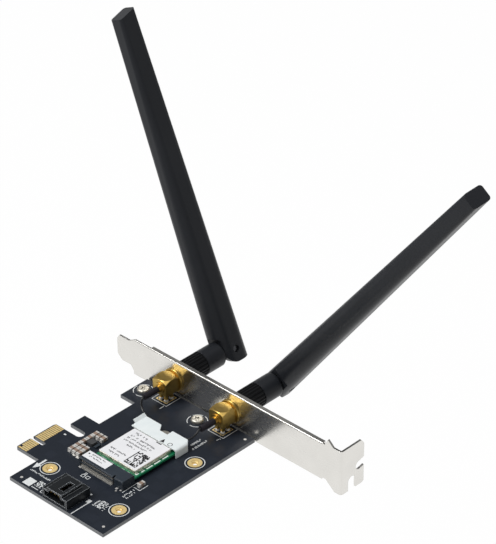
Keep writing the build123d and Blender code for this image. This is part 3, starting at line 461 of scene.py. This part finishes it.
def wedges(centres, half, toe, climb, sink, inset, steps):
    # solder against both ends of each chip: a hollow slope, height climb * s^2 at distance toe * (1 - s) with a
    # straight back, carried across the chip's width
    s = np.linspace(0, 1, steps)
    out = np.concatenate([toe * (1 - s), np.full(steps, -sink)])
    rise = np.concatenate([climb * s ** 2, climb * s[::-1] ** 2])
    ends = np.array([(x, y, d) for x, y in centres for d in (-1.0, 1.0)])[:, None, None, :]
    across = np.array([-1.0, 1.0])[None, :, None] * (half[0] - inset)
    x = ends[..., 0] - ends[..., 2] * across + 0 * out
    y = ends[..., 1] + ends[..., 2] * (half[1] + out) + 0 * across
    points = np.stack([x, y, np.broadcast_to(rise, x.shape)], -1)
    loop = 2 * steps
    j = np.arange(loop)
    j2 = (j + 1) % loop
    k = np.arange(steps - 1)
    cap = np.stack([k, k + 1, loop - 2 - k, loop - 1 - k], 1)
    quads = np.concatenate([np.stack([j, loop + j, loop + j2, j2], 1), cap, loop + cap[:, ::-1]])
    return points.reshape(-1, 3), (quads[None] + 2 * loop * np.arange(len(ends))[:, None, None]).reshape(-1, 4)


slope = [solder[key] for key in ("toe", "climb", "sink", "inset", "steps")]
makePiece("chipSolder", [wedges(solder["chips"], solder["chipHalf"], *slope)], brightSolder, True)
print("board print and solder done")

# black print on the module's label and on the cover's roof beside it
labelPrint = {"level": (3.605, 3.622), "roof": (3.895, 3.912),
              "words": [(30.8, 37.8, 25.8, 1.35), (30.9, 34.9, 23.7, 0.95), (36.1, 44.4, 23.7, 0.95),
                        (30.7, 34.9, 22.0, 0.95), (35.9, 44.5, 22.0, 0.95), (30.7, 32.6, 20.2, 0.95),
                        (33.3, 42.6, 20.2, 0.95), (33.4, 39.4, 18.4, 0.95), (30.6, 39.4, 13.2, 1.0),
                        (30.7, 37.5, 11.1, 1.0)],
              "code": (40.6, 10.0, 47.0, 18.65), "cells": 13, "fill": 0.56, "frame": 0.4,
              "smudge": (41.0, 27.0, 43.7, 27.5),
              "wedge": [(42.5, 30.5), (42.75, 28.3)], "wedgeWidths": (0.06, 1.9),
              "ring": ((46.4, 29.3), 0.9), "line": 0.25}
shells = [tiles(wordRow(*row, draw), *labelPrint["level"]) for row in labelPrint["words"]]
x0, y0, x1, y1 = labelPrint["code"]
bar = labelPrint["frame"]
shells += [tiles(codeGrid(x0, y0, x1, y1, labelPrint["cells"], labelPrint["fill"], draw), *labelPrint["level"]),
           tiles([(x0, y0, x0 + bar, y1), (x0, y0, x1, y0 + bar), labelPrint["smudge"]], *labelPrint["level"]),
           ribbon(labelPrint["wedge"], np.array(labelPrint["wedgeWidths"]), *labelPrint["roof"])]
shells += [ribbon(arc(*labelPrint["ring"]), labelPrint["line"], *labelPrint["roof"], closed=True)]
makePiece("labelPrint", shells, blackInk)

# pale print along the module's edges
moduleMarks = {"level": (2.095, 2.115), "line": 0.6,
               "runs": [[(47.6, 9.0), (48.85, 8.85), (48.95, 10.0)], [(49.1, 11.2), (49.1, 12.9)],
                        [(49.1, 13.9), (49.1, 17.2)], [(49.1, 18.1), (49.1, 21.4)], [(49.1, 22.4), (49.1, 25.5)],
                        [(30.5, 7.6), (33.6, 7.6)], [(35.7, 7.6), (37.6, 7.6)], [(39.6, 7.6), (40.2, 7.6)],
                        [(42.0, 7.6), (43.6, 7.6)], [(45.3, 7.6), (46.3, 7.6)]]}
makePiece("moduleMarks", [ribbon(run, moduleMarks["line"], *moduleMarks["level"]) for run in moduleMarks["runs"]],
          mintInk)

# small print on the socket's label
socketPrint = {"level": (4.055, 4.072), "words": [(29.6, 37.2, 4.6, 0.75), (29.4, 36.4, 3.2, 0.75)],
               "mark": (27.8, 3.9, 28.5, 4.6)}
shells = [tiles(wordRow(*row, draw), *socketPrint["level"]) for row in socketPrint["words"]]
makePiece("socketPrint", shells + [tiles([socketPrint["mark"]], *socketPrint["level"])], blackInk)
print("module print done")

# studio: pale floor clear of the antennas when they hang straight down, soft lamps, white surround
studio = {"floorZ": -0.155, "floorHalf": 6.0, "floorColour": "#f4f4f4", "surround": 1.0, "fill": 0.38,
          "sweepTop": (0.0, 0.2), "ceiling": 0.22, "paintedLightPool": (0.55, 1.1),
          "floorGlow": 0.97, "floorRough": 0.8, "floorShine": 0.1, "target": (0.045, 0.06, 0.03)}

world = bpy.data.worlds.new("studioSurround")
bpy.context.scene.world = world
world.use_nodes = True
world.node_tree.nodes.clear()
rays = addNode(world.node_tree, "ShaderNodeLightPath")
direction = addNode(world.node_tree, "ShaderNodeTexCoord").outputs["Generated"]
height = addNode(world.node_tree, "ShaderNodeSeparateXYZ", {0: direction}).outputs["Z"]
ceiling = addNode(world.node_tree, "ShaderNodeMapRange", {"Value": height, "From Min": studio["sweepTop"][0],
                                                           "From Max": studio["sweepTop"][1],
                                                           "To Min": studio["surround"], "To Max": studio["ceiling"]})
glint = addNode(world.node_tree, "ShaderNodeMapRange", {"Value": rays.outputs["Is Glossy Ray"],
                                                         "To Min": studio["fill"], "To Max": ceiling.outputs[0]})
seen = addNode(world.node_tree, "ShaderNodeMath", {0: rays.outputs["Is Camera Ray"],
                                                   1: rays.outputs["Is Transmission Ray"]}, operation="MAXIMUM")
strength = addNode(world.node_tree, "ShaderNodeMapRange", {"Value": seen.outputs[0], "To Min": glint.outputs[0],
                                                         "To Max": studio["surround"]})
glow = addNode(world.node_tree, "ShaderNodeBackground", {"Color": (1, 1, 1, 1), "Strength": strength.outputs[0]})
addNode(world.node_tree, "ShaderNodeOutputWorld", {"Surface": glow.outputs[0]})

mat, tree = newFinish("paleFloor")
rays = addNode(tree, "ShaderNodeLightPath")
seen = addNode(tree, "ShaderNodeMath", {0: rays.outputs["Is Camera Ray"], 1: rays.outputs["Is Glossy Ray"]},
               operation="MAXIMUM")
share = addNode(tree, "ShaderNodeMath", {0: seen.outputs[0], 1: studio["floorGlow"]}, operation="MULTIPLY")
paint = addNode(tree, "ShaderNodeBsdfPrincipled", {"Base Color": linear(studio["floorColour"]),
                                                   "Roughness": studio["floorRough"],
                                                   "Specular IOR Level": studio["floorShine"]})
# painted pool of light: in reflections the floor glows white near the object and dims to the ceiling strength further
# out
spread = addNode(tree, "ShaderNodeVectorMath", {0: addNode(tree, "ShaderNodeTexCoord").outputs["Object"]},
                 operation="LENGTH")
paintedLightPool = addNode(tree, "ShaderNodeMapRange", {"Value": spread.outputs["Value"], "From Min": studio["paintedLightPool"][0],
                                             "From Max": studio["paintedLightPool"][1], "To Min": 1.0,
                                            "To Max": studio["ceiling"]})
shown = addNode(tree, "ShaderNodeMath", {0: paintedLightPool.outputs[0], 1: rays.outputs["Is Camera Ray"]},
                operation="MAXIMUM")
white = addNode(tree, "ShaderNodeEmission", {"Color": (1, 1, 1, 1), "Strength": shown.outputs[0]})
both = addNode(tree, "ShaderNodeMixShader", {0: share.outputs[0], 1: paint.outputs[0], 2: white.outputs[0]})
# clear from below, for views of the underside
fromBelow = addNode(tree, "ShaderNodeNewGeometry").outputs["Backfacing"]
clear = addNode(tree, "ShaderNodeBsdfTransparent")
both = addNode(tree, "ShaderNodeMixShader", {0: fromBelow, 1: both.outputs[0], 2: clear.outputs[0]})
closeFinish(tree, both.outputs[0])
half, floorZ = studio["floorHalf"], studio["floorZ"]
floorMesh = bpy.data.meshes.new("paleFloor")
floorMesh.from_pydata([(-half, -half, floorZ), (half, -half, floorZ), (half, half, floorZ), (-half, half, floorZ)],
                      [], [(0, 1, 2, 3)])
floorMesh.materials.append(mat)
floor = bpy.data.objects.new("paleFloor", floorMesh)
bpy.context.scene.collection.objects.link(floor)


def aim(place, target):  # matrix of a lamp at place whose -Z looks at target
    back = np.array(place, float) - np.array(target, float)
    back /= np.linalg.norm(back)
    right = np.cross((0, 0, 1), back)
    right /= np.linalg.norm(right)
    return Matrix.Translation(place) @ Matrix(np.stack([right, np.cross(back, right), back], 1).tolist()).to_4x4()


lamps = {
    "keySoftbox": {"place": (-0.52, -0.66, 1.34), "size": 0.9, "power": 18.5},
    "topSoftbox": {"place": (0.10, 0.25, 1.30), "size": 0.8, "power": 3.0},
}
for name, lamp in lamps.items():
    light = bpy.data.lights.new(name, "AREA")
    light.shape = "SQUARE"
    light.size = lamp["size"]
    light.energy = lamp["power"]
    obj = bpy.data.objects.new(name, light)
    bpy.context.scene.collection.objects.link(obj)
    obj.matrix_world = aim(lamp["place"], studio["target"])

photoCamera = {"place": (0.641876, -0.547527, 0.613291), "azimuth": 43.826, "elevation": 32.672, "roll": -0.361,
               "lens": 177.912, "sensor": 36}
a, e, r = np.radians([photoCamera["azimuth"], photoCamera["elevation"], photoCamera["roll"]])
back = np.array([np.sin(a) * np.cos(e), -np.cos(a) * np.cos(e), np.sin(e)])
right = np.array([np.cos(a), np.sin(a), 0])
up = np.cross(back, right)
axes = np.stack([np.cos(r) * right + np.sin(r) * up, np.cos(r) * up - np.sin(r) * right, back], 1)
lens = bpy.data.cameras.new("photoCamera")
lens.lens = photoCamera["lens"]
lens.sensor_width = photoCamera["sensor"]
lens.sensor_fit = "AUTO"
camera = bpy.data.objects.new("photoCamera", lens)
bpy.context.scene.collection.objects.link(camera)
camera.matrix_world = Matrix.Translation(photoCamera["place"]) @ Matrix(axes.tolist()).to_4x4()
bpy.context.scene.camera = camera
bpy.context.scene.view_settings.view_transform = "Standard"
print("studio ready")
